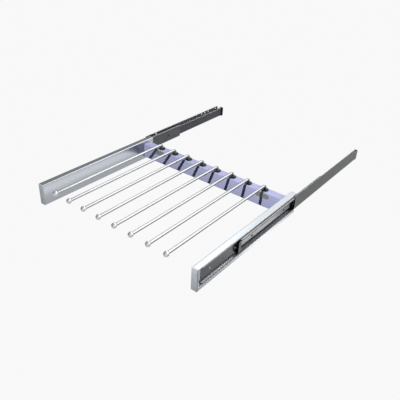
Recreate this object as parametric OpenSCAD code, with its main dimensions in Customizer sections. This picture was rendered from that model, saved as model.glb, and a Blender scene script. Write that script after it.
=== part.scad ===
// Pull-out trouser rack for a wardrobe, drawn fully pulled out.
// X runs across the wardrobe, +Y into it and +Z up. The origin is the middle of the whole.
// The two sides are mirror images, so each side piece is drawn once, for the right.

/* [Rack] */
// Clear width between the wardrobe's sides, over both slides
wardrobe_width = 614; // [540:1:1000]
// Length of a side profile over its two end caps
profile_length = 475; // [400:1:620]
// Height of a side profile
profile_height = 68; // [66:0.5:90]
// Width of a side profile
profile_width = 19; // [17:0.5:30]
// Wall of a side profile
profile_wall = 1.8; // [1.2:0.1:2.2]
// Radius on the outer edges of a side profile
profile_edge_r = 1.2; // [0.5:0.1:1.7]
// Thickness of an end cap's plate
cap_plate = 2.5; // [1.5:0.1:4]
// Length of an end cap's plugs
cap_plug = 9; // [4:0.5:14]

/* [Crossbar] */
// Height of the crossbar
crossbar_height = 50; // [42:0.5:51]
// Depth of the crossbar, front to back
crossbar_depth = 30; // [29:0.5:44]
// Wall of the crossbar
crossbar_wall = 1.8; // [1.2:0.1:2.2]
// Radius on the crossbar's outer edges
crossbar_edge_r = 2.5; // [1:0.1:3]
// Gap from the crossbar's back face to the back end of the profiles
crossbar_inset = 15.6; // [14:0.1:60]
// Length of an oval cover on the crossbar's front
cover_length = 48; // [30:1:56]
// Height of an oval cover
cover_height = 16; // [12:0.5:17]
// How far an oval cover stands out of the crossbar
cover_proud = 2; // [1:0.1:4]

/* [Rods] */
// Number of trouser rods
rod_count = 8; // [2:1:8]
// Distance from one rod to the next
rod_pitch = 60; // [45:0.5:66]
// Diameter of a rod
rod_d = 9; // [6:0.1:10]
// Diameter of the ball on the front end of a rod
ball_d = 16; // [14:0.5:22]
// Height of the rods' centre line above the side profiles
rod_lift = 6; // [4:0.5:7.5]
// Radius of a rod's bend, at its centre line
bend_r = 12; // [9:0.5:13]
// Diameter of the collar round a rod's leg
collar_d = 22; // [18:0.5:26]
// Height of a collar
collar_height = 3.5; // [2:0.1:4]
// Diameter of the nut under the crossbar
nut_d = 15; // [14:0.5:22]
// Height of a nut
nut_height = 5.5; // [4:0.1:7]

/* [Slides] */
// Height of the rack rail, which is fixed in the side profile's groove
rack_rail_height = 54; // [52:0.5:56]
// Depth of a slide, from the wardrobe's side to the floor of the groove
slide_depth = 13; // [12.9:0.05:13.4]
// How far a slide stands out of the side profile
slide_proud = 6; // [5.7:0.05:6.2]
// Sheet thickness of the rails
sheet = 1.2; // [1:0.05:1.25]
// Diameter of a bearing ball
bearing_d = 4; // [3.8:0.05:4.1]
// Gap between a bearing ball and its races
race_gap = 0.06; // [0.02:0.01:0.1]
// Number of bearing balls in a row of an outer cage
outer_ball_count = 9; // [3:1:14]
// Number of bearing balls in a row of an inner cage
inner_ball_count = 10; // [3:1:16]
// Distance from the front of the profile to the front of its rack rail
rack_rail_setback = 22; // [14:0.5:40]
// Distance from the back of the rack rail to the back of the profile
rack_rail_back_gap = 3; // [2.6:0.1:12]
// Height of the fixing strip above the middle of the slide
strip_rise = 29.4; // [28.5:0.1:32]
// Height of the fixing holes above the middle of the slide
strip_hole_rise = 23.6; // [22:0.1:24.5]
// Diameter of the fixing holes
strip_hole_d = 6.5; // [4:0.1:7]
// Distance from the front of the fixing strip to its front hole
strip_front_margin = 55; // [10:1:120]
// Distance from the back of the fixing strip to its back hole
strip_back_margin = 16; // [8:1:30]
// Distance from one hole of the middle row to the next
strip_row_pitch = 22; // [10:1:23]

/* [Hidden] */
SIDES = ["left", "right"];
FRAME_PIECES = ["profile", "front_cap", "rear_cap", "fixing_cover"];
SLIDE_PIECES = ["rack_rail", "intermediate_rail", "cabinet_rail", "inner_cage", "inner_balls",
                "outer_cage", "outer_balls", "front_bumper", "rear_bumper"];
$fn = 48;

// Overrun of a cut past the face that it opens
cut = 1;
// Gap round a pin in its bore
seat_gap = 0.05;
// Gap round a plug in its opening
slip_gap = 0.2;

// Heights, from the profiles' bottom to the top of the rod balls
profile_bottom = -(profile_height + rod_lift + ball_d / 2) / 2;
profile_top = profile_bottom + profile_height;
rod_z = profile_top + rod_lift;
groove_lip = 2.4;
groove_play = 0.6;
groove_top = profile_top - groove_lip;
groove_bottom = groove_top - rack_rail_height - 2 * groove_play;
slide_z = (groove_top + groove_bottom) / 2;
crossbar_drop = 17;
cover_drop = 11;
crossbar_top = rod_z - crossbar_drop;
crossbar_bottom = crossbar_top - crossbar_height;
crossbar_z = (crossbar_top + crossbar_bottom) / 2;
cover_z = crossbar_top - cover_drop;

// Lengths of the slides, and how far they run
travel_share = 44 / 45;
intermediate_share = 5 / 8;
intermediate_extra = 12;
intermediate_lead = 7;
cabinet_extra = 6;
rear_bumper_length = 8;
strip_short = 21;
rack_rail_length = profile_length - rack_rail_setback - rack_rail_back_gap;
intermediate_length = rack_rail_length + intermediate_extra;
cabinet_length = rack_rail_length + cabinet_extra;
strip_length = cabinet_length - strip_short;
travel = travel_share * rack_rail_length;
intermediate_travel = intermediate_share * travel;

// Places along Y, front to back
ball_overhang = 8;
front_to_cabinet = ball_d / 2 + ball_overhang + rack_rail_setback + travel;
front_y = -(front_to_cabinet + cabinet_length + rear_bumper_length) / 2;
ball_y = front_y + ball_d / 2;
profile_y = ball_y + ball_overhang;
profile_end = profile_y + profile_length;
rack_rail_y = profile_y + rack_rail_setback;
cabinet_y = rack_rail_y + travel;
cabinet_end = cabinet_y + cabinet_length;
intermediate_y = cabinet_y - intermediate_lead - intermediate_travel;
intermediate_end = intermediate_y + intermediate_length;
crossbar_back = profile_end - crossbar_inset;
crossbar_front = crossbar_back - crossbar_depth;
leg_y = (crossbar_front + crossbar_back) / 2;

// Places along X
half_width = wardrobe_width / 2;
profile_inside = half_width - slide_proud - profile_width;
function rod_x(i) = (i - (rod_count + 1) / 2) * rod_pitch;

// Small sizes of the frame: how deep a rod sits in its ball, the floor of a nut under the
// leg, the round on a collar, the step round an end cap, its plugs' wall, and a cover's rim
ball_seat = 2;
nut_floor = 1.5;
collar_edge = 1.4;
cap_edge = 0.6;
plug_wall = 1.4;
cover_rim = 3;
leg_bottom = crossbar_bottom - nut_height + nut_floor;

// Section of a slide, as depth from the wardrobe's side and height from its middle.
// The inner row of balls runs between rack rail and intermediate rail, and the outer row
// between intermediate rail and cabinet rail.
race_r = bearing_d / 2 + race_gap;
shell_r = race_r + sheet;
lip_wrap = 15;
race_rise = 50;
race_tip = 0.1;
cabinet_strip = 1.4;
strip_clearance = 0.34;
intermediate_web = 1.1;
cabinet_web = 1.1;
inner_ball_u = slide_depth - sheet - race_r;
inner_ball_z = rack_rail_height / 2 - shell_r;
outer_ball_u = cabinet_strip + strip_clearance + shell_r;
outer_ball_z = inner_ball_z - race_r - shell_r;
intermediate_flange_z = inner_ball_z - shell_r;
cabinet_flange_z = outer_ball_z - shell_r;
cabinet_top = cabinet_flange_z + sheet;
cabinet_web_end = outer_ball_u + shell_r * cos(race_rise) - race_tip;
cabinet_web_u = cabinet_web_end - cabinet_web;

// The cages' plates and the intermediate rail's web share what room is left in the depth
cage_sheet = 0.7;
close_play_share = 0.18;
web_play_share = 0.36;
slide_play = slide_depth - sheet - 2 * cage_sheet - intermediate_web - cabinet_web_end;
inner_cage_u = slide_depth - sheet - close_play_share * slide_play - cage_sheet;
intermediate_web_end = inner_cage_u - close_play_share * slide_play;
intermediate_web_u = intermediate_web_end - intermediate_web;
outer_cage_u = intermediate_web_u - web_play_share * slide_play - cage_sheet;

// Cages
cage_leg = 1.7;
cage_ball_gap = 0.12;
cage_end = 8;
cage_window_d = 14;
cage_window_shares = [0.18, 0.5, 0.82];
inner_cage_share = 0.413;
inner_cage_back_gap = 18;
inner_cage_length = inner_cage_share * rack_rail_length;
inner_cage_y = rack_rail_y + rack_rail_length - inner_cage_back_gap - inner_cage_length;
outer_cage_share = 0.36;
outer_cage_length = outer_cage_share * rack_rail_length;
outer_cage_y = (cabinet_y + intermediate_end - outer_cage_length) / 2;

// Screws that hold the profiles to the crossbar, in ports inside it
frame_screw_d = 4;
frame_screw_head_d = 8;
frame_screw_head = 2.2;
frame_screw_grip = 14;
port_wall = 1.5;
port_r = frame_screw_d / 2 + seat_gap;
port_sink = 0.9;
port_inset = crossbar_wall + port_r + port_wall - port_sink;
port_ys = [crossbar_front + port_inset, crossbar_back - port_inset];

// Screws that hold the rack rails in the grooves, and the rails' spare holes
rail_screw_d = 3.5;
rail_screw_head_d = 7;
rail_screw_head = 0.7;
rail_screw_grip = 4;
rail_screw_shares = [0.0756, 0.32];
rail_screw_margin = 12;
rail_screw_ys = concat(rail_screw_shares * rack_rail_length,
                       [rack_rail_length - rail_screw_margin]);
spare_hole_d = 5.5;
spare_hole_drop = 5;
spare_hole_shares = [0.202, 0.227, 0.349];
spare_hole_ys = spare_hole_shares * rack_rail_length;
upper_hole_rise = 13.6;
upper_hole_share = 0.32;
slot_length = 9;
slot_shares = [0.13, 0.5, 0.855];
slot_ys = slot_shares * intermediate_length;

// Holes of the fixing strip
strip_row_margin = 86;
strip_row_y = strip_length - strip_row_margin;
strip_hole_ys = [strip_front_margin, strip_row_y - strip_row_pitch, strip_row_y,
                 strip_row_y + strip_row_pitch, strip_length - strip_back_margin];

// Stops
bumper_nose = 12;
bumper_plug = 4;
bumper_chamfer = 4;
bumper_wall_gap = 1.2;
rear_bumper_rim = 2;

// Draws a side piece on its own side
module on_side(side) {
    if (side == "right") children();
    else mirror([1, 0, 0]) children();
}

// Runs a section, drawn as x and z, along Y
module along_y(y, length) {
    translate([0, y + length, 0]) rotate([90, 0, 0]) linear_extrude(length) children();
}

// Runs a section, drawn as y and z, along X
module along_x(x, length) {
    translate([x, 0, 0]) rotate([90, 0, 90]) linear_extrude(length) children();
}

// Places a slide section, drawn as depth and height, on the right side
module slide_section(z = slide_z) {
    translate([half_width, z]) mirror([1, 0]) children();
}

module both_edges() {
    children();
    mirror([0, 1]) children();
}

// A rectangle from one corner to the other, with round corners
module round_box(low, high, r) {
    translate([low[0] + r, low[1]]) square([high[0] - low[0] - 2 * r, high[1] - low[1]]);
    translate([low[0], low[1] + r]) square([high[0] - low[0], high[1] - low[1] - 2 * r]);
    for (x = [low[0] + r, high[0] - r], y = [low[1] + r, high[1] - r]) translate([x, y]) circle(r);
}

module box2(low, high) {
    translate(low) square(high - low);
}

// An oval with round ends, lying along the first axis
module oval(length, height) {
    square([length - height, height], center = true);
    for (side = [-1, 1]) translate([side * (length - height) / 2, 0]) circle(height / 2);
}

// A rolled race round a ball row, from one angle to another
module race(u, z, from, to) {
    reach = 2 * shell_r;
    steps = [for (k = [0:4]) from + k * (to - from) / 4];
    translate([u, z]) intersection() {
        difference() {
            circle(shell_r);
            circle(race_r);
        }
        polygon(concat([[0, 0]], [for (a = steps) reach * [cos(a), sin(a)]]));
    }
}

// A round hole across a rail's web or a profile's wall, at a place along Y and Z
module bore_x(from_u, to_u, y, z, d) {
    translate([half_width - to_u, y, z]) rotate([0, 90, 0]) cylinder(h = to_u - from_u, d = d);
}

// A hollow profile, open on its outer side for the slide
module profile_outline(inset = 0) {
    slide_section(0) difference() {
        round_box([slide_proud + inset, profile_bottom + inset],
                  [slide_proud + profile_width - inset, profile_top - inset], profile_edge_r);
        box2([slide_proud - cut, groove_bottom - inset], [slide_depth + inset, groove_top + inset]);
    }
}

// The two hollows of a profile, as a gap from their walls
module profile_hollows(gap = 0) {
    inner = slide_proud + profile_width - profile_wall - gap;
    slide_section(0) {
        box2([slide_depth + profile_wall + gap, groove_bottom + gap],
             [inner, profile_top - profile_wall - gap]);
        box2([slide_proud + profile_wall + gap, profile_bottom + profile_wall + gap],
             [inner, groove_bottom - profile_wall - gap]);
    }
}

module profile(side) {
    color("silver") on_side(side) difference() {
        along_y(profile_y + cap_plate, profile_length - 2 * cap_plate) difference() {
            profile_outline();
            profile_hollows();
        }
        for (y = port_ys) {
            bore_x(slide_depth - cut, slide_proud + profile_width + cut, y, crossbar_z,
                   frame_screw_d + 2 * seat_gap);
            translate([half_width - slide_depth, y, crossbar_z]) rotate([0, -90, 0])
                countersink(frame_screw_head_d / 2 + seat_gap, frame_screw_d / 2 + seat_gap);
        }
        for (y = rail_screw_ys)
            bore_x(slide_depth - cut, slide_depth + profile_wall + cut, rack_rail_y + y, slide_z,
                   rail_screw_d + 2 * seat_gap);
    }
}

// The cone of a countersunk head, from its face down
module countersink(face_r, shank_r) {
    cylinder(h = frame_screw_head, r1 = face_r, r2 = shank_r);
}

// The outline of an end cap. The front one closes the groove, and the rear one leaves it
// open for the slide.
module cap_outline(inwards, inset = 0) {
    if (inwards > 0) slide_section(0)
        round_box([slide_proud + inset, profile_bottom + inset],
                  [slide_proud + profile_width - inset, profile_top - inset], profile_edge_r);
    else profile_outline(inset);
}

// An end cap, with two hollow plugs that grip in the profile
module end_cap(side, outer_y, inwards) {
    edge = cap_edge;
    plate_y = inwards > 0 ? outer_y : outer_y - cap_plate;
    rim_y = inwards > 0 ? outer_y : outer_y - edge;
    body_y = inwards > 0 ? outer_y + edge : plate_y;
    plug_y = inwards > 0 ? outer_y + cap_plate : plate_y - cap_plug;
    color("dimgray") on_side(side) {
        along_y(rim_y, edge) cap_outline(inwards, edge / 2);
        along_y(body_y, cap_plate - edge) cap_outline(inwards);
        along_y(plug_y, cap_plug) difference() {
            profile_hollows(slip_gap);
            profile_hollows(slip_gap + plug_wall);
        }
    }
}

// A box section with two screw ports, drilled for the rods' legs
module crossbar() {
    inner_r = max(crossbar_edge_r - crossbar_wall, seat_gap);
    color("lavender") difference() {
        along_x(-profile_inside, 2 * profile_inside) {
            difference() {
                round_box([crossbar_front, crossbar_bottom], [crossbar_back, crossbar_top],
                          crossbar_edge_r);
                round_box([crossbar_front + crossbar_wall, crossbar_bottom + crossbar_wall],
                          [crossbar_back - crossbar_wall, crossbar_top - crossbar_wall], inner_r);
            }
            for (y = port_ys) translate([y, crossbar_z]) difference() {
                circle(port_r + port_wall);
                circle(port_r);
            }
        }
        for (i = [1:rod_count]) translate([rod_x(i), leg_y, crossbar_bottom - cut])
            cylinder(h = crossbar_height + 2 * cut, d = rod_d + 2 * seat_gap);
        for (i = [1, rod_count]) translate([rod_x(i), 0, cover_z])
            along_y(crossbar_front - cut, crossbar_wall + cut)
                oval(cover_length - 2 * cover_rim, cover_height - 2 * cover_rim);
    }
}

// An oval cover, snapped into the crossbar's front wall
module fixing_cover(side) {
    tongue = crossbar_wall + cover_rim / 2;
    i = side == "left" ? 1 : rod_count;
    plug_rim = cover_rim + slip_gap;
    color("gray") translate([rod_x(i), 0, cover_z]) {
        along_y(crossbar_front - cover_proud, cover_proud) oval(cover_length, cover_height);
        along_y(crossbar_front, tongue)
            oval(cover_length - 2 * plug_rim, cover_height - 2 * plug_rim);
    }
}

// A straight rod, bent down into the crossbar
module rod(i) {
    color("gainsboro") translate([rod_x(i), 0, 0]) {
        translate([0, ball_y - ball_seat, rod_z]) rotate([-90, 0, 0])
            cylinder(h = leg_y - bend_r - ball_y + ball_seat, d = rod_d);
        translate([0, leg_y - bend_r, rod_z - bend_r]) rotate([90, 0, 90])
            rotate_extrude(angle = 90) translate([bend_r, 0]) circle(d = rod_d);
        translate([0, leg_y, leg_bottom]) cylinder(h = rod_z - bend_r - leg_bottom, d = rod_d);
    }
}

// The balls, each bored from behind for its rod
module rod_balls() {
    color("white") for (i = [1:rod_count]) translate([rod_x(i), ball_y, rod_z])
        rotate([-90, 0, 0]) rotate_extrude() difference() {
            intersection() {
                circle(d = ball_d);
                box2([0, -ball_d], [ball_d, ball_d]);
            }
            box2([0, -ball_seat], [rod_d / 2 + seat_gap, ball_d]);
        }
}

// A collar with a rounded top edge, and the bore for the leg
module rod_collars() {
    edge = collar_edge;
    outer = collar_d / 2;
    bore = rod_d / 2 + seat_gap;
    color("black") for (i = [1:rod_count]) translate([rod_x(i), leg_y, crossbar_top])
        rotate_extrude() {
            box2([bore, 0], [outer, collar_height - edge]);
            box2([bore, 0], [outer - edge, collar_height]);
            translate([outer - edge, collar_height - edge]) intersection() {
                circle(edge);
                square(edge);
            }
        }
}

// A closed nut under the crossbar, with a tapered foot
module rod_nuts() {
    taper = nut_height / 3;
    color("black") for (i = [1:rod_count]) translate([rod_x(i), leg_y, crossbar_bottom])
        mirror([0, 0, 1]) difference() {
            union() {
                cylinder(h = nut_height - taper, d = nut_d);
                translate([0, 0, nut_height - taper])
                    cylinder(h = taper, d1 = nut_d, d2 = nut_d - 2 * taper);
            }
            translate([0, 0, -cut])
                cylinder(h = crossbar_bottom - leg_bottom + cut, d = rod_d + 2 * seat_gap);
        }
}

module frame_screws() {
    length = slide_proud + profile_width + frame_screw_grip - slide_depth;
    color("dimgray") for (side = SIDES) on_side(side) for (y = port_ys)
        translate([half_width - slide_depth, y, crossbar_z]) rotate([0, -90, 0]) {
            countersink(frame_screw_head_d / 2, frame_screw_d / 2);
            cylinder(h = length, d = frame_screw_d);
        }
}

module rail_screws() {
    length = sheet + profile_wall + rail_screw_grip;
    color("dimgray") for (side = SIDES) on_side(side) for (y = rail_screw_ys)
        translate([half_width - slide_depth + sheet, rack_rail_y + y, slide_z]) {
            rotate([0, -90, 0]) cylinder(h = length, d = rail_screw_d);
            rotate([0, 90, 0]) cylinder(h = rail_screw_head, d = rail_screw_head_d);
        }
}

// The rail in the profile's groove: a channel, open to the wardrobe's side, with a
// rolled race along each edge
module rack_rail(side) {
    web_u = slide_depth - sheet;
    color("dimgray") on_side(side) difference() {
        along_y(rack_rail_y, rack_rail_length) slide_section() {
            box2([web_u, -inner_ball_z], [slide_depth, inner_ball_z]);
            both_edges() race(inner_ball_u, inner_ball_z, 0, 180 + lip_wrap);
        }
        for (y = rail_screw_ys)
            bore_x(web_u - cut, slide_depth + cut, rack_rail_y + y, slide_z,
                   rail_screw_d + 2 * seat_gap);
        for (y = spare_hole_ys)
            bore_x(web_u - cut, slide_depth + cut, rack_rail_y + y, slide_z - spare_hole_drop,
                   spare_hole_d);
        bore_x(web_u - cut, slide_depth + cut, rack_rail_y + upper_hole_share * rack_rail_length,
               slide_z + upper_hole_rise, spare_hole_d);
    }
}

// The rail between the other two. Its flanges carry the inner row of balls on top and
// the outer row beneath, in a lip that is rolled the other way.
module intermediate_rail(side) {
    web_end = intermediate_web_end;
    color("gray") on_side(side) difference() {
        along_y(intermediate_y, intermediate_length) slide_section() {
            box2([intermediate_web_u, -intermediate_flange_z], [web_end, intermediate_flange_z]);
            both_edges() {
                box2([outer_ball_u, intermediate_flange_z],
                     [web_end, intermediate_flange_z + sheet]);
                race(inner_ball_u, inner_ball_z, 225, 270);
                race(outer_ball_u, outer_ball_z, 90, 180 + lip_wrap);
            }
        }
        for (y = slot_ys) translate([half_width - web_end - cut, intermediate_y + y, slide_z])
            along_x(0, intermediate_web + 2 * cut) oval(slot_length, spare_hole_d);
    }
}

// The rail on the wardrobe's side: a closed track, below a fixing strip with holes
module cabinet_rail(side) {
    web_end = cabinet_web_end;
    color("dimgray") on_side(side) difference() {
        union() {
            along_y(cabinet_y, cabinet_length) slide_section() {
                box2([0, -cabinet_top], [cabinet_strip, cabinet_top]);
                box2([cabinet_web_u, -cabinet_top], [web_end, cabinet_top]);
                both_edges() {
                    box2([0, cabinet_flange_z], [web_end, cabinet_top]);
                    race(outer_ball_u, outer_ball_z, 270, 360 - race_rise);
                }
            }
            along_y(cabinet_y, strip_length) slide_section()
                box2([0, 0], [cabinet_strip, strip_rise]);
        }
        for (y = strip_hole_ys)
            bore_x(-cut, cabinet_strip + cut, cabinet_y + y, slide_z + strip_hole_rise,
                   strip_hole_d);
    }
}

// Places of the balls along a cage
function ball_places(y, length, count) =
    [for (k = [0:count - 1]) y + cage_end + k * (length - 2 * cage_end) / (count - 1)];

module bearing_balls(u, z, places, r) {
    for (edge = [-1, 1], y = places) translate([half_width - u, y, slide_z + edge * z]) sphere(r);
}

// A cage: a strip with a leg along each edge, whose pockets hold the two rows of balls
module cage(side, plate_u, ball_u, ball_z, y, length, count) {
    half = cage_sheet / 2;
    color("goldenrod") on_side(side) difference() {
        along_y(y, length) slide_section() difference() {
            box2([ball_u - cage_leg, -ball_z - half], [plate_u + cage_sheet, ball_z + half]);
            box2([ball_u - cage_leg - cut, half - ball_z], [plate_u, ball_z - half]);
        }
        bearing_balls(ball_u, ball_z, ball_places(y, length, count),
                      bearing_d / 2 + cage_ball_gap);
        for (share = cage_window_shares)
            bore_x(plate_u - cut, plate_u + cage_sheet + cut, y + share * length, slide_z,
                   cage_window_d);
    }
}

module inner_cage(side) {
    cage(side, inner_cage_u, inner_ball_u, inner_ball_z, inner_cage_y, inner_cage_length,
         inner_ball_count);
}

module outer_cage(side) {
    cage(side, outer_cage_u, outer_ball_u, outer_ball_z, outer_cage_y, outer_cage_length,
         outer_ball_count);
}

module inner_balls(side) {
    color("white") on_side(side)
        bearing_balls(inner_ball_u, inner_ball_z,
                      ball_places(inner_cage_y, inner_cage_length, inner_ball_count),
                      bearing_d / 2);
}

module outer_balls(side) {
    color("white") on_side(side)
        bearing_balls(outer_ball_u, outer_ball_z,
                      ball_places(outer_cage_y, outer_cage_length, outer_ball_count),
                      bearing_d / 2);
}

// A stop pushed into the front of the intermediate rail
module front_bumper(side) {
    low_u = cabinet_strip + bumper_wall_gap;
    plug_top = intermediate_flange_z - 2 * slip_gap;
    nose_u = intermediate_web_end;
    back = intermediate_y;
    color("black") on_side(side) {
        translate([half_width - nose_u, 0, slide_z]) along_x(0, nose_u - low_u) polygon([
            [back, plug_top], [back - bumper_nose + bumper_chamfer, plug_top],
            [back - bumper_nose, plug_top - bumper_chamfer],
            [back - bumper_nose, bumper_chamfer - plug_top],
            [back - bumper_nose + bumper_chamfer, -plug_top], [back, -plug_top]]);
        along_y(back, bumper_plug) slide_section()
            box2([outer_ball_u, bumper_chamfer - plug_top],
                 [intermediate_web_u - slip_gap, plug_top - bumper_chamfer]);
    }
}

// A stop pushed into the back of the cabinet rail
module rear_bumper(side) {
    nose_u = intermediate_web_end;
    nose_top = cabinet_top + rear_bumper_rim;
    color("black") on_side(side) {
        translate([half_width - nose_u, 0, slide_z]) along_x(0, nose_u) polygon([
            [cabinet_end, nose_top], [cabinet_end + rear_bumper_length - bumper_chamfer, nose_top],
            [cabinet_end + rear_bumper_length, nose_top - bumper_chamfer],
            [cabinet_end + rear_bumper_length, bumper_chamfer - nose_top],
            [cabinet_end + rear_bumper_length - bumper_chamfer, -nose_top],
            [cabinet_end, -nose_top]]);
        along_y(cabinet_end - cap_plug, cap_plug) slide_section()
            box2([cabinet_strip + slip_gap, slip_gap - cabinet_flange_z],
                 [cabinet_web_u - slip_gap, cabinet_flange_z - slip_gap]);
    }
}

module side_piece(side, piece) {
    if (piece == "profile") profile(side);
    if (piece == "front_cap") end_cap(side, profile_y, 1);
    if (piece == "rear_cap") end_cap(side, profile_end, -1);
    if (piece == "fixing_cover") fixing_cover(side);
    if (piece == "rack_rail") rack_rail(side);
    if (piece == "intermediate_rail") intermediate_rail(side);
    if (piece == "cabinet_rail") cabinet_rail(side);
    if (piece == "inner_cage") inner_cage(side);
    if (piece == "inner_balls") inner_balls(side);
    if (piece == "outer_cage") outer_cage(side);
    if (piece == "outer_balls") outer_balls(side);
    if (piece == "front_bumper") front_bumper(side);
    if (piece == "rear_bumper") rear_bumper(side);
}

crossbar();
rod_balls();
rod_collars();
rod_nuts();
frame_screws();
rail_screws();
for (i = [1:rod_count])
    rod(i);
for (side = SIDES, piece = concat(FRAME_PIECES, SLIDE_PIECES))
    side_piece(side, piece);
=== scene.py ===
import math

import bmesh
import bpy
from mathutils import Matrix, Vector


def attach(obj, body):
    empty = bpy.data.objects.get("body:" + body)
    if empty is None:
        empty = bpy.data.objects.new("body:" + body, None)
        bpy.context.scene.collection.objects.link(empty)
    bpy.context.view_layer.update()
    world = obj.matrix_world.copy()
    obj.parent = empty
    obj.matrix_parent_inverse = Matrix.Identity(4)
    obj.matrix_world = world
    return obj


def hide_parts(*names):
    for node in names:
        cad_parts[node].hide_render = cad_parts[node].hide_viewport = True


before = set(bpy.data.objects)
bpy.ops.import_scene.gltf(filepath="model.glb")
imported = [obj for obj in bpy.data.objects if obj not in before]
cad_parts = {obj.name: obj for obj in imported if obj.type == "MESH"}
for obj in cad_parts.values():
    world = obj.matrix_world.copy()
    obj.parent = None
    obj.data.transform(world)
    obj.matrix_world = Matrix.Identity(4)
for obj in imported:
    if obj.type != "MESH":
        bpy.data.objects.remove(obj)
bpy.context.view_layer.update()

# Side profiles. Two lengths of hollow aluminium extrusion, satin anodised, with a groove
# along the outer side for the slide. They are sawn square, and the end caps close them.
PROFILE_OUT = 0.301
PROFILE_IN = 0.282
PROFILE_LOW = -0.041
PROFILE_HIGH = 0.027
PROFILE_FRONT = -0.4525
PROFILE_BACK = 0.0175
PROFILE_FOOT_ROUND = 0.0012
PROFILE_BROW_ROUND = 0.0010
PROFILE_TOP_ROUND = 0.0022
GROOVE_FLOOR = 0.294
GROOVE_LOW = -0.0306
GROOVE_HIGH = 0.0246
GROOVE_LIP_ROUND = 0.0004
GROOVE_CORNER_ROUND = 0.0005
SAWN_EDGE = 0.0002
LEAST_ROUND = 0.00005
SHARP_ANGLE = math.radians(32)
WELD = 0.000001
# Bright aluminium for the edges: partly rubbed wear, partly a painted highlight
EDGE_WEAR_AND_HIGHLIGHT_ALUMINIUM = [0.86, 0.87, 0.90, 1.0]
SIDES = ((-1, "left"), (1, "right"))


def linear(code):
    """The linear colour of an sRGB hex code."""
    shares = [int(code[i : i + 2], 16) / 255 for i in (1, 3, 5)]
    return [s / 12.92 if s <= 0.04045 else ((s + 0.055) / 1.055) ** 2.4 for s in shares] + [1.0]


def node(tree, kind, inputs=None, **settings):
    """Adds a node; an input given as a socket is linked, and one given as a value is set."""
    made = tree.nodes.new(kind)
    for key, value in settings.items():
        setattr(made, key, value)
    for key, value in (inputs or {}).items():
        if isinstance(value, bpy.types.NodeSocket):
            tree.links.new(value, made.inputs[key])
        else:
            made.inputs[key].default_value = value
    return made


def grain(tree, scale, detail, roughness=0.6):
    """Noise on object coordinates, with its own scale along each axis, in cells a metre."""
    place = node(tree, "ShaderNodeTexCoord").outputs["Object"]
    spread = node(tree, "ShaderNodeMapping", {"Vector": place, "Scale": scale})
    return node(
        tree,
        "ShaderNodeTexNoise",
        {"Vector": spread.outputs[0], "Scale": 1.0, "Detail": detail, "Roughness": roughness},
    ).outputs["Fac"]


def between(tree, share, low, high, start=0.3, end=0.7):
    """A value that goes from low to high while the share goes from start to end."""
    return node(
        tree,
        "ShaderNodeMapRange",
        {"Value": share, "From Min": start, "From Max": end, "To Min": low, "To Max": high},
    ).outputs["Result"]


def mixed(tree, share, first, second):
    """Two colours mixed by a share. The node's colours are its sockets 6 and 7, and 2 goes out."""
    sockets = {0: share, 6: first, 7: second}
    return node(tree, "ShaderNodeMix", sockets, data_type="RGBA").outputs[2]


def edge_wear_and_highlight(tree, radius):
    """A softened normal for the edges, and how strongly each point belongs to an edge. The
    materials that use this share lighten their edges by it as a painted highlight, on the metals
    partly also as wear.
    """
    soft = node(tree, "ShaderNodeBevel", {"Radius": radius}, samples=6)
    true = node(tree, "ShaderNodeNewGeometry").outputs["Normal"]
    turn = node(
        tree, "ShaderNodeVectorMath", {0: soft.outputs[0], 1: true}, operation="DOT_PRODUCT"
    ).outputs["Value"]
    return soft.outputs[0], between(tree, turn, 1.0, 0.0, 0.80, 0.995)


def finish_of(name, colour, roughness, metallic, bump_height, bump_size, normal, **extra):
    """Closes a material's tree with a principled shader, fed by values or by its own nodes."""
    material = bpy.data.materials[name]
    tree = material.node_tree
    bump = node(
        tree,
        "ShaderNodeBump",
        {"Strength": 0.3, "Distance": bump_size, "Height": bump_height, "Normal": normal},
    )
    inputs = {
        "Base Color": colour,
        "Roughness": roughness,
        "Metallic": metallic,
        "Normal": bump.outputs[0],
    }
    shader = node(tree, "ShaderNodeBsdfPrincipled", {**inputs, **extra})
    node(tree, "ShaderNodeOutputMaterial", {"Surface": shader.outputs[0]})
    return material


def new_tree(name):
    """The empty node tree of a new material."""
    material = bpy.data.materials.new(name)
    material.use_nodes = True
    material.node_tree.nodes.clear()
    return material.node_tree


def anodised(name, base, run, roughness, metallic=1.0, gloss=0.5):
    """Satin anodised extrusion. Its die lines follow the run, and are drawn coarser than real
    ones, which are too fine to show. Its edges are lighter, partly as rubbed wear and partly as a
    painted highlight."""
    tree = new_tree(name)
    along, across = 3, 130
    lines = grain(tree, [along if axis == run else across for axis in range(3)], 1.0)
    cloud = grain(tree, [9, 9, 9], 3.0)
    soft, edge = edge_wear_and_highlight(tree, 0.0005)
    dark = [c * 0.97 for c in linear(base)[:3]] + [1.0]
    light = [min(1.0, c * 1.02) for c in linear(base)[:3]] + [1.0]
    colour = mixed(tree, between(tree, lines, 0.0, 1.0), dark, light)
    colour = mixed(tree, between(tree, cloud, 0.0, 0.25), colour, linear(base))
    # Painted highlight, partly wear: the edges are mixed towards bright aluminium
    colour = mixed(tree, edge, colour, EDGE_WEAR_AND_HIGHLIGHT_ALUMINIUM)
    rough = between(tree, lines, roughness - 0.02, roughness + 0.02)
    return finish_of(
        name, colour, rough, metallic, lines, 0.000006, soft, **{"Specular IOR Level": gloss}
    )


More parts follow.
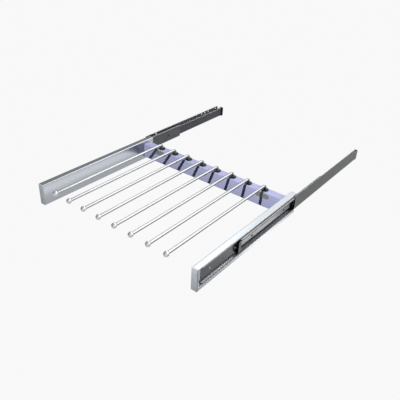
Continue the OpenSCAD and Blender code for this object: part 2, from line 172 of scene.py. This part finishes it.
def rounded(corners, inset=0.0, steps=6):
    """Points round an outline of square corners, each (across, up, radius), moved inwards."""
    points = []
    count = len(corners)
    for i, (x, z, r) in enumerate(corners):
        here = Vector((x, z))
        before = (here - Vector(corners[i - 1][:2])).normalized()
        after = (Vector(corners[(i + 1) % count][:2]) - here).normalized()
        inward = Vector((-before.y, before.x)) + Vector((-after.y, after.x))
        convex = before.x * after.y - before.y * after.x > 0
        radius = max(r - inset, LEAST_ROUND) if convex else r + inset
        corner = here + inward * inset
        start = corner - before * radius
        centre = start + Vector((-before.y, before.x)) * (radius if convex else -radius)
        sweep = math.pi / 2 * (1 if convex else -1)
        for k in range(steps + 1):
            points.append(centre + Matrix.Rotation(sweep * k / steps, 2) @ (start - centre))
    return points


def shell(name, rings):
    """A closed mesh through rings of points, with a flat face on each end."""
    sides = len(rings[0])
    points = [tuple(p) for ring in rings for p in ring]
    faces = [tuple(reversed(range(sides)))]
    for r in range(len(rings) - 1):
        for k in range(sides):
            n = (k + 1) % sides
            faces.append((r * sides + k, r * sides + n, (r + 1) * sides + n, (r + 1) * sides + k))
    faces.append(tuple(range((len(rings) - 1) * sides, len(rings) * sides)))
    mesh = bpy.data.meshes.new(name)
    mesh.from_pydata(points, [], faces)
    return outward(mesh)


def outward(mesh):
    """Turns every face outwards and shades it smooth, with its sharp edges kept."""
    work = bmesh.new()
    work.from_mesh(mesh)
    bmesh.ops.remove_doubles(work, verts=work.verts, dist=WELD)
    bmesh.ops.recalc_face_normals(work, faces=work.faces)
    work.to_mesh(mesh)
    work.free()
    mesh.shade_smooth()
    mesh.set_sharp_from_angle(angle=SHARP_ANGLE)
    return mesh


def piece(name, mesh, material, body, slot, *nodes):
    """Puts a finished mesh on its body, in place of its CAD nodes."""
    mesh.materials.clear()
    mesh.materials.append(material)
    made = bpy.data.objects.new(name, mesh)
    bpy.context.scene.collection.objects.link(made)
    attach(made, body)
    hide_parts(*nodes)


def profile_corners(side):
    """The outline of a side profile, as a closed run of square corners."""
    corners = [
        (PROFILE_IN, PROFILE_LOW, PROFILE_FOOT_ROUND),
        (PROFILE_OUT, PROFILE_LOW, PROFILE_FOOT_ROUND),
        (PROFILE_OUT, GROOVE_LOW, GROOVE_LIP_ROUND),
        (GROOVE_FLOOR, GROOVE_LOW, GROOVE_CORNER_ROUND),
        (GROOVE_FLOOR, GROOVE_HIGH, GROOVE_CORNER_ROUND),
        (PROFILE_OUT, GROOVE_HIGH, GROOVE_LIP_ROUND),
        (PROFILE_OUT, PROFILE_HIGH, PROFILE_BROW_ROUND),
        (PROFILE_IN, PROFILE_HIGH, PROFILE_TOP_ROUND),
    ]
    if side > 0:
        return corners
    return [(-x, z, r) for x, z, r in reversed(corners)]


profile_aluminium = anodised("satin_anodised_aluminium", "#9ea2a8", 1, 0.25)

for side, hand in SIDES:
    rings = []
    for y, inset in (
        (PROFILE_FRONT, SAWN_EDGE),
        (PROFILE_FRONT + SAWN_EDGE, 0.0),
        (PROFILE_BACK - SAWN_EDGE, 0.0),
        (PROFILE_BACK, SAWN_EDGE),
    ):
        rings.append([(p.x, y, p.y) for p in rounded(profile_corners(side), inset)])
    mesh = shell(f"{hand}_profile_mesh", rings)
    piece(
        f"{hand}_side_profile",
        mesh,
        profile_aluminium,
        "rack",
        "profile_aluminium",
        f"{hand}_profile",
    )

# End caps. Injection moulded plastic plates with a rounded rim, pushed into the ends of the
# profiles and held by hidden plugs. The front ones close the groove, the rear ones do not.
CAP_PLATE = 0.0025
CAP_ROUND = 0.0006
# The plate's rounded rim as (share of the round left to the face, share of it moved inwards)
CAP_RIM_SHARES = ((1.0, 0.0), (0.6, 0.1), (0.25, 0.4), (0.0, 1.0))


def moulded(name, base, roughness, cells, depth, gloss=0.5, lift=0.006):
    """Moulded plastic with a fine spark-eroded skin, and a painted highlight that makes it a
    little lighter along its edges.
    """
    tree = new_tree(name)
    skin = grain(tree, [cells] * 3, 2.0, 0.5)
    cloud = grain(tree, [60] * 3, 1.0)
    soft, edge = edge_wear_and_highlight(tree, 0.0004)
    base_colour = linear(base)
    lighter = [min(1.0, c * 1.18 + lift) for c in base_colour[:3]] + [1.0]
    colour = mixed(tree, between(tree, cloud, 0.0, 0.6), base_colour, lighter)
    # Painted highlight: the edges are mixed up to halfway towards the lighter tone
    colour = mixed(tree, between(tree, edge, 0.0, 0.5, 0.0, 1.0), colour, lighter)
    rough = between(tree, cloud, roughness - 0.06, roughness + 0.06)
    return finish_of(
        name, colour, rough, 0.0, skin, depth, soft, **{"Specular IOR Level": gloss}
    )


def cap_corners(side, end):
    """The outline of an end cap: the profile's, and at the front without the groove's corners."""
    corners = profile_corners(side)
    if end > 0:
        return corners
    return [corner for corner in corners if corner[2] > GROOVE_CORNER_ROUND]


cap_plastic = moulded("grey_cap_plastic", "#92969b", 0.30, 350, 0.000005)

cap_steps = [(0.0, 0.0)]
for left, inward in CAP_RIM_SHARES:
    cap_steps.append((CAP_PLATE - left * CAP_ROUND, inward * CAP_ROUND))

for side, hand in SIDES:
    for end, name in ((-1, "front"), (1, "rear")):
        seat = PROFILE_FRONT if end < 0 else PROFILE_BACK
        rings = []
        for out, inset in cap_steps:
            ring = rounded(cap_corners(side, end), inset)
            rings.append([(p.x, seat + end * out, p.y) for p in ring])
        mesh = shell(f"{hand}_{name}_cap_mesh", rings)
        piece(
            f"{hand}_{name}_end_cap",
            mesh,
            cap_plastic,
            "rack",
            "cap_plastic",
            f"{hand}_{name}_cap",
        )

# Crossbar. A box section of aluminium with rounded edges, anodised in a pale lavender.
# It is screwed between the two side profiles from their grooves.
BAR_FRONT = -0.0256
BAR_BACK = 0.0044
BAR_LOW = -0.034
BAR_HIGH = 0.016
BAR_EDGE = 0.0025
BAR_EDGE_STEPS = 8

crossbar_aluminium = anodised("lavender_satin_aluminium", "#9ea1c2", 0, 0.36, 0.0, 0.1)

bar_outline = rounded(
    [
        (BAR_FRONT, BAR_LOW, BAR_EDGE),
        (BAR_BACK, BAR_LOW, BAR_EDGE),
        (BAR_BACK, BAR_HIGH, BAR_EDGE),
        (BAR_FRONT, BAR_HIGH, BAR_EDGE),
    ],
    steps=BAR_EDGE_STEPS,
)
mesh = shell(
    "crossbar_mesh", [[(x, p.x, p.y) for p in bar_outline] for x in (-PROFILE_IN, PROFILE_IN)]
)
piece("crossbar_section", mesh, crossbar_aluminium, "rack", "crossbar_aluminium", "crossbar")

# Oval covers. Two moulded plastic plates that snap into the crossbar's front wall below
# the outermost rods, with a softly rounded edge.
COVER_LENGTH = 0.048
COVER_HEIGHT = 0.016
COVER_X = 0.21
COVER_Z = 0.005
COVER_FACE = -0.0276
COVER_POINTS = 48
# The soft edge as (distance behind the face, distance moved inwards)
COVER_EDGE = ((0.0009, 0.0), (0.0004, 0.0002), (0.0001, 0.0006), (0.0, 0.0012))

cover_plastic = moulded("grey_cover_plastic", "#6e6e68", 0.42, 900, 0.00001)


def oval_ring(x, y, inset):
    """Points round a cover's edge, at one depth."""
    radius = COVER_HEIGHT / 2 - inset
    reach = COVER_LENGTH / 2 - COVER_HEIGHT / 2
    ring = []
    for k in range(COVER_POINTS):
        angle = math.tau * (k + 0.5) / COVER_POINTS
        shift = reach if math.cos(angle) > 0 else -reach
        ring.append((x + shift + radius * math.cos(angle), y, COVER_Z + radius * math.sin(angle)))
    return ring


for side, hand in SIDES:
    rings = [oval_ring(side * COVER_X, BAR_FRONT, 0.0)]
    for behind, inset in COVER_EDGE:
        rings.append(oval_ring(side * COVER_X, COVER_FACE + behind, inset))
    mesh = shell(f"{hand}_cover_mesh", rings)
    piece(
        f"{hand}_oval_cover",
        mesh,
        cover_plastic,
        "rack",
        "cover_plastic",
        f"{hand}_fixing_cover",
    )

# Trouser rods. Eight round steel rods, polished and chrome plated, each bent square at
# the back. The leg stands in the crossbar, and the front end takes the ball.
ROD_COUNT = 8
ROD_PITCH = 0.06
ROD_FIRST = -0.21
ROD_RADIUS = 0.0045
ROD_BEND = 0.012
ROD_Z = 0.033
ROD_FRONT = -0.463
ROD_IN_BALL = 0.002
ROD_SIDES = 32
ROD_BEND_STEPS = 14
LEG_Y = -0.0106
LEG_LOW = -0.038


def chromed(name, base, roughness, metallic=1.0, grazing=1.0):
    """Polished chrome plate with faint wipe marks. It can reflect less at a grazing angle."""
    tree = new_tree(name)
    wipe = grain(tree, [260, 25, 260], 4.0)
    fine = grain(tree, [3000, 700, 3000], 2.0)
    soft, _ = edge_wear_and_highlight(tree, 0.0003)
    base_colour = linear(base)
    darker = [c * 0.92 for c in base_colour[:3]] + [1.0]
    colour = mixed(tree, between(tree, wipe, 0.0, 1.0), base_colour, darker)
    rough = between(tree, wipe, roughness - 0.03, roughness + 0.06)
    tint = {"Specular Tint": [grazing, grazing, grazing, 1.0]}
    return finish_of(name, colour, rough, metallic, fine, 0.000005, soft, **tint)


def row_tree():
    """A tree that sets copies of a mesh in a row, from a start, a count and a step."""
    tree = bpy.data.node_groups.new("row_of_copies", "GeometryNodeTree")
    face = tree.interface
    face.new_socket("Geometry", in_out="INPUT", socket_type="NodeSocketGeometry")
    for name, kind in (
        ("Start", "NodeSocketVector"),
        ("Count", "NodeSocketInt"),
        ("Step", "NodeSocketVector"),
        ("Material", "NodeSocketMaterial"),
    ):
        face.new_socket(name, in_out="INPUT", socket_type=kind)
    face.new_socket("Geometry", in_out="OUTPUT", socket_type="NodeSocketGeometry")
    given = node(tree, "NodeGroupInput").outputs
    row = node(
        tree,
        "GeometryNodeMeshLine",
        {"Count": given["Count"], "Start Location": given["Start"], "Offset": given["Step"]},
    )
    copies = node(
        tree,
        "GeometryNodeInstanceOnPoints",
        {"Points": row.outputs[0], "Instance": given["Geometry"]},
    )
    real = node(tree, "GeometryNodeRealizeInstances", {"Geometry": copies.outputs[0]})
    painted = node(
        tree,
        "GeometryNodeSetMaterial",
        {"Geometry": real.outputs[0], "Material": given["Material"]},
    )
    node(tree, "NodeGroupOutput", {"Geometry": painted.outputs[0]})
    return tree


def grown(name, mesh, tree, **values):
    """The plain mesh that a tree makes of a mesh."""
    seed = bpy.data.objects.new(f"{name}_seed", mesh)
    bpy.context.scene.collection.objects.link(seed)
    modifier = seed.modifiers.new("Build", "NODES")
    modifier.node_group = tree
    for socket in tree.interface.items_tree:
        if socket.in_out == "INPUT" and socket.name in values:
            modifier[socket.identifier] = values[socket.name]
    shown = bpy.context.evaluated_depsgraph_get()
    made = bpy.data.meshes.new_from_object(seed.evaluated_get(shown), depsgraph=shown)
    made.name = name
    bpy.data.objects.remove(seed)
    return made


def rod_tree():
    """A tree that bends a path of edges and sweeps a round bar along it."""
    tree = bpy.data.node_groups.new("bent_rod", "GeometryNodeTree")
    face = tree.interface
    face.new_socket("Geometry", in_out="INPUT", socket_type="NodeSocketGeometry")
    for name in ("Radius", "Bend"):
        face.new_socket(name, in_out="INPUT", socket_type="NodeSocketFloat")
    face.new_socket("Geometry", in_out="OUTPUT", socket_type="NodeSocketGeometry")
    given = node(tree, "NodeGroupInput").outputs
    path = node(tree, "GeometryNodeMeshToCurve", {"Mesh": given["Geometry"]})
    bent = node(
        tree,
        "GeometryNodeFilletCurve",
        {"Curve": path.outputs[0], "Radius": given["Bend"], "Count": ROD_BEND_STEPS},
        mode="POLY",
    )
    ring = node(
        tree,
        "GeometryNodeCurvePrimitiveCircle",
        {"Resolution": ROD_SIDES, "Radius": given["Radius"]},
    )
    swept = node(
        tree,
        "GeometryNodeCurveToMesh",
        {"Curve": bent.outputs[0], "Profile Curve": ring.outputs[0], "Fill Caps": True},
    )
    real = node(tree, "GeometryNodeRealizeInstances", {"Geometry": swept.outputs[0]})
    node(tree, "NodeGroupOutput", {"Geometry": real.outputs[0]})
    return tree


row_of_copies = row_tree()


def at_every_rod(name, form, material):
    """One mesh with a copy of a form at every rod."""
    start = (ROD_FIRST, 0, 0)
    step = (ROD_PITCH, 0, 0)
    return grown(
        name, form, row_of_copies, Start=start, Count=ROD_COUNT, Step=step, Material=material
    )


rod_chrome = chromed("polished_chrome_plate", "#9fa1a3", 0.12, 0.75, 0.4)

path = bpy.data.meshes.new("rod_path")
path.from_pydata(
    [(0, ROD_FRONT - ROD_IN_BALL, ROD_Z), (0, LEG_Y, ROD_Z), (0, LEG_Y, LEG_LOW)],
    [(0, 1), (1, 2)],
    [],
)
bar = outward(grown("rod_bar", path, rod_tree(), Radius=ROD_RADIUS, Bend=ROD_BEND))
mesh = at_every_rod("rods_mesh", bar, rod_chrome)
piece(
    "trouser_rods",
    mesh,
    rod_chrome,
    "rack",
    "rod_chrome",
    *[f"rod_{i}" for i in range(1, ROD_COUNT + 1)],
)

# Rod balls. Eight turned steel balls in the rods' chrome, each pressed on a rod's front end,
# and given a lighter tone than the rods as a painted highlight. A narrow shoulder is left where
# the tool parted it.
BALL_RADIUS = 0.008
BALL_STEP = 8
BALL_SIDES = 40
SHOULDER_RADIUS = ROD_RADIUS + 0.0006
SHOULDER_LIP = 0.0002
SHOULDER_GAP = 0.0001


def turned(name, outline, sides, centre, along_y=False):
    """A mesh turned round a vertical axis, or one along Y, from (radius, height) points."""
    rings = []
    for k in range(sides):
        angle = math.tau * k / sides
        ring = []
        for r, h in outline:
            point = Vector((r * math.cos(angle), r * math.sin(angle), h))
            if along_y:
                point = Vector((point.x, point.z, -point.y))
            ring.append(point + Vector(centre))
        rings.append(ring)
    count = len(outline)
    points = [tuple(p) for ring in rings for p in ring]
    faces = []
    for k in range(sides):
        n = (k + 1) % sides
        for i in range(count - 1):
            face = [k * count + i, n * count + i, n * count + i + 1, k * count + i + 1]
            faces.append(face)
    mesh = bpy.data.meshes.new(name)
    mesh.from_pydata(points, [], faces)
    return outward(mesh)


shoulder = math.sqrt(BALL_RADIUS**2 - SHOULDER_RADIUS**2)
ball_outline = [(0, -BALL_RADIUS)]
for degrees in range(BALL_STEP - 90, 90, BALL_STEP):
    angle = math.radians(degrees)
    if BALL_RADIUS * math.sin(angle) < shoulder:
        ball_outline.append((BALL_RADIUS * math.cos(angle), BALL_RADIUS * math.sin(angle)))
ball_outline += [
    (SHOULDER_RADIUS, shoulder),
    (ROD_RADIUS + SHOULDER_GAP, shoulder + SHOULDER_LIP),
    (0, shoulder),
]
# The rods' chrome in a lighter tone: a painted highlight for the brighter light on the balls
ball_chrome_painted_lighter = chromed("polished_chrome_ball_painted_lighter", "#c2c3c4", 0.08, 0.95)
ball = turned("ball_form", ball_outline, BALL_SIDES, (0, ROD_FRONT, ROD_Z), along_y=True)
mesh = at_every_rod("balls_mesh", ball, ball_chrome_painted_lighter)
piece("rod_end_balls", mesh, ball_chrome_painted_lighter, "rack", "rod_chrome", "rod_balls")

# Collars and nuts. Black moulded nylon: a collar round each leg on top of the crossbar,
# and a closed nut under it that clamps the leg, with grip ribs round its side.
LEG_GAP = 0.00005
COLLAR_RADIUS = 0.011
COLLAR_HIGH = 0.0195
COLLAR_ROUND = 0.0014
COLLAR_SIDES = 48
# The collar's mouth round the leg as (distance from the rod, distance below the top)
COLLAR_MOUTH = ((0.0009, 0.0), (0.0003, 0.0004), (LEG_GAP, 0.001))
NUT_RADIUS = 0.0075
NUT_LOW = -0.0395
NUT_RIBS = 18
NUT_POINTS = 72
# The nut's side as (distance moved inwards, distance below the crossbar, depth of the ribs)
NUT_STEPS = (
    (0.0, 0.0, 0.0),
    (0.0, 0.0007, 0.0),
    (0.0, 0.0009, 0.0005),
    (0.0, 0.0036, 0.0005),
    (0.0004, 0.0040, 0.0002),
    (0.0018, BAR_LOW - NUT_LOW, 0.0),
)

black_plastic = moulded("black_nylon", "#0b0b0c", 0.24, 900, 0.00001, 0.16, 0.001)

collar_outline = [(ROD_RADIUS + LEG_GAP, BAR_HIGH), (COLLAR_RADIUS, BAR_HIGH)]
for degrees in range(0, 91, 15):
    angle = math.radians(degrees)
    collar_outline.append(
        (
            COLLAR_RADIUS - COLLAR_ROUND * (1 - math.cos(angle)),
            COLLAR_HIGH - COLLAR_ROUND * (1 - math.sin(angle)),
        )
    )
collar_outline += [(ROD_RADIUS + out, COLLAR_HIGH - below) for out, below in COLLAR_MOUTH]
collar_outline.append((ROD_RADIUS + LEG_GAP, BAR_HIGH))
collar = turned("collar_form", collar_outline, COLLAR_SIDES, (0, LEG_Y, 0))
mesh = at_every_rod("collars_mesh", collar, black_plastic)
piece("rod_leg_collars", mesh, black_plastic, "rack", "black_plastic", "rod_collars")


def ribbed_ring(radius, height, depth):
    """Points round a nut at one height, with its ribs cut to a depth."""
    ring = []
    for k in range(NUT_POINTS):
        angle = math.tau * k / NUT_POINTS
        r = radius - depth * (0.5 - 0.5 * math.cos(angle * NUT_RIBS))
        ring.append((r * math.cos(angle), LEG_Y + r * math.sin(angle), height))
    return ring


rings = [
    ribbed_ring(NUT_RADIUS - inset, BAR_LOW - below, ribs) for inset, below, ribs in NUT_STEPS
]
nut = shell("nut_form", rings)
mesh = at_every_rod("nuts_mesh", nut, black_plastic)
piece("rod_leg_nuts", mesh, black_plastic, "rack", "black_plastic", "rod_nuts")

# Screws. Zinc plated steel: countersunk ones through the profiles into the crossbar's
# ports, and flat-headed ones with a cross recess that hold the rack rails in the grooves.
RAIL_SCREW_Z = -0.003
RAIL_SCREW_YS = (-0.39898, -0.289, 0.005)
CROSS_SHARE = 0.28
HEAD_POINTS = 64
# A head from its seat to the floor of its recess as (distance from the middle of the rack,
# radius, size of the cross as a share of the radius, or zero for a circle)
HEAD_STEPS = (
    (0.2952, 0.0035, 0),
    (0.2955, 0.0035, 0),
    (0.2958, 0.0032, 0),
    (0.2959, 0.0028, 0),
    (0.2959, 0.0018, 1.0),
    (0.2953, 0.0018, 0.6),
)
RACE_FADE = 0.0015
RACE_METAL = 0.35


def maths(tree, operation, *values):
    """The result of one sum on sockets and numbers."""
    made = node(tree, "ShaderNodeMath", dict(enumerate(values)), operation=operation)
    return made.outputs[0]


def zinc_steel(name, dark, light, roughness, wear_and_highlight_tone=0.7, race=None):
    """Zinc plated sheet with cloudy passivation and rolling lines, its edges made bright partly as
    rubbed wear and partly as a painted highlight. Farther than `race` above and below the slide's
    middle, the lips are made bright too: partly ball-rubbed races, partly a painted highlight for
    the light on them."""
    tree = new_tree(name)
    cloud = grain(tree, [70, 22, 70], 5.0, 0.65)
    lines = grain(tree, [1600, 5, 1600], 3.0)
    soft, edge = edge_wear_and_highlight(tree, 0.0006)
    colour = mixed(tree, between(tree, cloud, 0.0, 1.0), linear(dark), linear(light))
    colour = mixed(tree, between(tree, lines, 0.0, 0.35), colour, linear(dark))
    bright = [wear_and_highlight_tone, wear_and_highlight_tone, wear_and_highlight_tone * 1.02, 1.0]
    # Painted highlight, partly wear: the edges are mixed towards the bright tone
    colour = mixed(tree, between(tree, edge, 0.0, 0.9, 0.0, 1.0), colour, bright)
    metallic = 1.0
    if race:
        place = node(tree, "ShaderNodeTexCoord").outputs["Object"]
        height = node(tree, "ShaderNodeSeparateXYZ", {0: place}).outputs["Z"]
        far = maths(tree, "ABSOLUTE", maths(tree, "SUBTRACT", height, RAIL_SCREW_Z))
        # Painted highlight, partly ball wear: beyond the race height the lips are mixed to the
        # bright tone
        race_wear_and_highlight = between(tree, far, 0.0, 1.0, race, race + RACE_FADE)
        colour = mixed(tree, race_wear_and_highlight, colour, bright)
        metallic = between(tree, race_wear_and_highlight, 1.0, RACE_METAL, 0.0, 1.0)
    rough = between(tree, cloud, roughness - 0.06, roughness + 0.08)
    return finish_of(name, colour, rough, metallic, lines, 0.00001, soft)


def cross_ring(x, y, z, arm, share):
    """Points round a cross recess, or round a circle where the share is zero."""
    width = CROSS_SHARE * arm
    ring = []
    for k in range(HEAD_POINTS):
        angle = math.tau * (k + 0.5) / HEAD_POINTS
        c, s = abs(math.cos(angle)), abs(math.sin(angle))
        cross = max(min(arm / c, width / s), min(arm / s, width / c))
        r = arm if share == 0 else cross * share
        ring.append((x, y + r * math.cos(angle), z + r * math.sin(angle)))
    return ring


def joined(name, meshes):
    """One mesh of several."""
    work = bmesh.new()
    for mesh in meshes:
        work.from_mesh(mesh)
    made = bpy.data.meshes.new(name)
    work.to_mesh(made)
    work.free()
    return outward(made)


def paint(material, *names):
    """Gives CAD nodes that stay as they are their finished material."""
    for name in names:
        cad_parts[name].data.materials[0] = material


screw_steel = zinc_steel("zinc_plated_screw", "#7a7d81", "#9c9fa3", 0.28)
heads = []
for side, _ in SIDES:
    for y in RAIL_SCREW_YS:
        rings = [cross_ring(side * x, y, RAIL_SCREW_Z, arm, share) for x, arm, share in HEAD_STEPS]
        heads.append(shell("head", rings))
mesh = joined("rail_screw_heads", heads)
piece("rail_screw_heads", mesh, screw_steel, "rack", "screw_steel", "rail_screws")
paint(screw_steel, "frame_screws")

# Slide rails. Cold rolled steel strip, zinc plated dark: the rack rail in the profile's
# groove, the intermediate rail, and the cabinet rail with the row of fixing holes. On the
# first two the lips beyond the ball races are painted bright, partly as ball wear and partly
# as a painted highlight for the light on them.
# Beyond this height above and below the middle, the lips are painted bright, partly as ball wear
# and partly as a painted highlight
RACE = 0.0195

# The last number is the bright tone of edges and lips: partly wear, partly painted highlight
rack_steel = zinc_steel("dark_zinc_rack_rail", "#4a4c4f", "#5e6165", 0.36, 0.45, RACE)
middle_steel = zinc_steel("bright_zinc_middle_rail", "#494b4e", "#5c5e62", 0.20, 0.20, RACE)
cabinet_steel = zinc_steel("dark_zinc_cabinet_rail", "#3c3e41", "#4e5155", 0.34)
paint(rack_steel, "left_rack_rail", "right_rack_rail")
paint(middle_steel, "left_intermediate_rail", "right_intermediate_rail")
paint(cabinet_steel, "left_cabinet_rail", "right_cabinet_rail")

# Ball cages and bearing balls. Thin pressed steel strips, dark with oil, whose pockets
# keep two rows of hardened balls apart in each slide.
cage_steel = zinc_steel("oiled_cage_steel", "#3a3a38", "#55534e", 0.30)
bearing_steel = chromed("hardened_bearing_steel", "#d4d6d8", 0.10)
for _, hand in SIDES:
    paint(cage_steel, f"{hand}_inner_cage", f"{hand}_outer_cage")
    paint(bearing_steel, f"{hand}_inner_balls", f"{hand}_outer_balls")

# Stops. Black moulded plugs: one on the front end of each intermediate rail, and one in
# the back end of each cabinet rail.
for _, hand in SIDES:
    paint(black_plastic, f"{hand}_front_bumper", f"{hand}_rear_bumper")

# Room. A plain pale floor far below, as under a rack in a wardrobe, and soft studio light
# from above and behind. A small key lamp in front throws the rods' shadows on the crossbar,
# and two weak lamps below the rack put the bright strips on the left profile and the slides.
FLOOR_Z = -1.1
FLOOR_REACH = 12
FLOOR_TONE = "#303030"
PAPER = "#f9f9f9"
PAPER_GLOW = 1.08
PAPER_SHARE = 0.92
SKY_LOW = "#4a4c4f"
SKY_HIGH = "#d8d8d8"
SKY_RISE = (0.02, 0.70)
SKY_AMBIENT = 0.05
SIDE_BRIGHT = [1.3, 1.3, 1.3, 1.0]
SIDE_RISE = (0.1, 0.6)
SIDE_SLANT = -0.3


def pale_floor():
    """Pale matt paper that keeps shadows, shown near the backdrop's tone. Its glow stays out
    of the light sampling, which would speckle the metal."""
    tree = new_tree("pale_floor_paper")
    path_kind = node(tree, "ShaderNodeLightPath").outputs
    seen = maths(tree, "MAXIMUM", path_kind["Is Camera Ray"], path_kind["Is Glossy Ray"])
    seen = maths(tree, "MAXIMUM", seen, path_kind["Is Transmission Ray"])
    share = maths(tree, "MULTIPLY", seen, PAPER_SHARE)
    matt = node(tree, "ShaderNodeBsdfDiffuse", {"Color": linear(FLOOR_TONE)})
    glow = node(tree, "ShaderNodeEmission", {"Color": linear(PAPER), "Strength": PAPER_GLOW})
    both = node(
        tree, "ShaderNodeMixShader", {0: share, 1: matt.outputs[0], 2: glow.outputs[0]}
    )
    node(tree, "ShaderNodeOutputMaterial", {"Surface": both.outputs[0]})
    paper = bpy.data.materials["pale_floor_paper"]
    paper.cycles.emission_sampling = "NONE"
    return paper


floor_mesh = bpy.data.meshes.new("floor_mesh")
floor_corners = [
    (x * FLOOR_REACH, y * FLOOR_REACH, FLOOR_Z) for x, y in ((-1, -1), (1, -1), (1, 1), (-1, 1))
]
floor_mesh.from_pydata(floor_corners, [], [(0, 1, 2, 3)])
floor_mesh.materials.append(pale_floor())
floor = bpy.data.objects.new("floor", floor_mesh)
bpy.context.scene.collection.objects.link(floor)

world = bpy.data.worlds.new("studio")
bpy.context.scene.world = world
world.use_nodes = True
world.cycles.sampling_method = "NONE"
sky = world.node_tree
sky.nodes.clear()
ray = node(sky, "ShaderNodeLightPath").outputs
direction = node(sky, "ShaderNodeTexCoord").outputs["Generated"]
parts = node(sky, "ShaderNodeSeparateXYZ", {0: direction}).outputs
rising = between(sky, parts["Z"], 0.0, 1.0, *SKY_RISE)
soft_sky = mixed(sky, rising, linear(SKY_LOW), linear(SKY_HIGH))
rightward = maths(sky, "MULTIPLY_ADD", parts["Y"], SIDE_SLANT, parts["X"])
aside = between(sky, rightward, 0.0, 1.0, *SIDE_RISE)
side_sky = mixed(sky, aside, soft_sky, SIDE_BRIGHT)
ambient = node(sky, "ShaderNodeBackground", {"Color": soft_sky, "Strength": SKY_AMBIENT})
studio = node(sky, "ShaderNodeBackground", {"Color": side_sky, "Strength": 1.0})
paper = node(sky, "ShaderNodeBackground", {"Color": linear(PAPER), "Strength": 1.0})
mirrored = maths(sky, "MAXIMUM", ray["Is Glossy Ray"], ray["Is Transmission Ray"])
lit = node(
    sky, "ShaderNodeMixShader", {0: mirrored, 1: ambient.outputs[0], 2: studio.outputs[0]}
)
shown = node(
    sky,
    "ShaderNodeMixShader",
    {0: ray["Is Camera Ray"], 1: lit.outputs[0], 2: paper.outputs[0]},
)
node(sky, "ShaderNodeOutputWorld", {"Surface": shown.outputs[0]})


def lamp(name, place, target, width, depth, watts, spread=180, mirrored=True, lights=True):
    """A rectangular lamp that faces a point, out of the camera's sight. It can be left out of
    reflections, or be seen in reflections only."""
    light = bpy.data.lights.new(name, "AREA")
    light.spread = math.radians(spread)
    light.shape = "RECTANGLE"
    light.size = width
    light.size_y = depth
    light.energy = watts
    made = bpy.data.objects.new(name, light)
    made.location = place
    made.rotation_mode = "QUATERNION"
    aim = Vector(target) - Vector(place)
    made.rotation_quaternion = aim.to_track_quat("-Z", "Y")
    made.visible_camera = False
    made.visible_glossy = mirrored
    made.visible_diffuse = lights
    bpy.context.scene.collection.objects.link(made)


lamp("key", (0.242, -0.90, 0.665), (0.0, -0.05, 0.0), 0.025, 0.025, 15.0, mirrored=False)
lamp("overhead", (0.3, 0.6, 1.6), (0.0, 0.0, 0.0), 1.6, 1.2, 1.5)
lamp("back_box", (0.25, 1.6, 1.3), (0.1, -0.1, 0.0), 3.3, 2.0, 33.0)
lamp("rod_box", (1.1, 1.25, 1.1), (0.0, -0.2, 0.0), 1.4, 1.2, 9.0)
lamp("top_box", (-0.67, 0.7, 1.34), (0.2, -0.4, 0.0), 0.8, 0.8, 2.7)
lamp("right_fill", (1.3, 0.35, 1.0), (0.3, -0.1, 0.0), 0.9, 0.9, 5.0)
lamp("left_card", (-0.10, -0.09, -0.095), (-0.4, -0.09, -0.095), 0.58, 0.05, 0.10, lights=False)
lamp("slide_strip", (0.77, 0.67, -0.68), (0.3, -0.19, 0.0), 0.22, 0.30, 0.0145, 30)

# Camera. It stands to the right and in front of the rack and looks down along the rods.
CAMERA_AT = Vector((0.8275, -1.1658, 0.7597))
FOCAL_PIXELS = 489.26
PICTURE_PIXELS = 400
SENSOR = 36.0
DOWN = math.radians(31.43)
ROUND = math.radians(36.74)
ROLL = math.radians(2.94)
camera = bpy.data.cameras.new("camera")
camera.sensor_width = SENSOR
camera.lens = FOCAL_PIXELS * SENSOR / PICTURE_PIXELS
viewer = bpy.data.objects.new("camera", camera)
bpy.context.scene.collection.objects.link(viewer)
ahead = Vector(
    (-math.sin(ROUND) * math.cos(DOWN), math.cos(ROUND) * math.cos(DOWN), -math.sin(DOWN))
)
level = Vector((math.cos(ROUND), math.sin(ROUND), 0.0))
upright = level.cross(ahead)
across = level * math.cos(ROLL) + upright * math.sin(ROLL)
upward = upright * math.cos(ROLL) - level * math.sin(ROLL)
turn = Matrix((across, upward, -ahead)).transposed()
viewer.matrix_world = Matrix.Translation(CAMERA_AT) @ turn.to_4x4()
bpy.context.scene.camera = viewer

bpy.context.scene.view_settings.view_transform = "Standard"
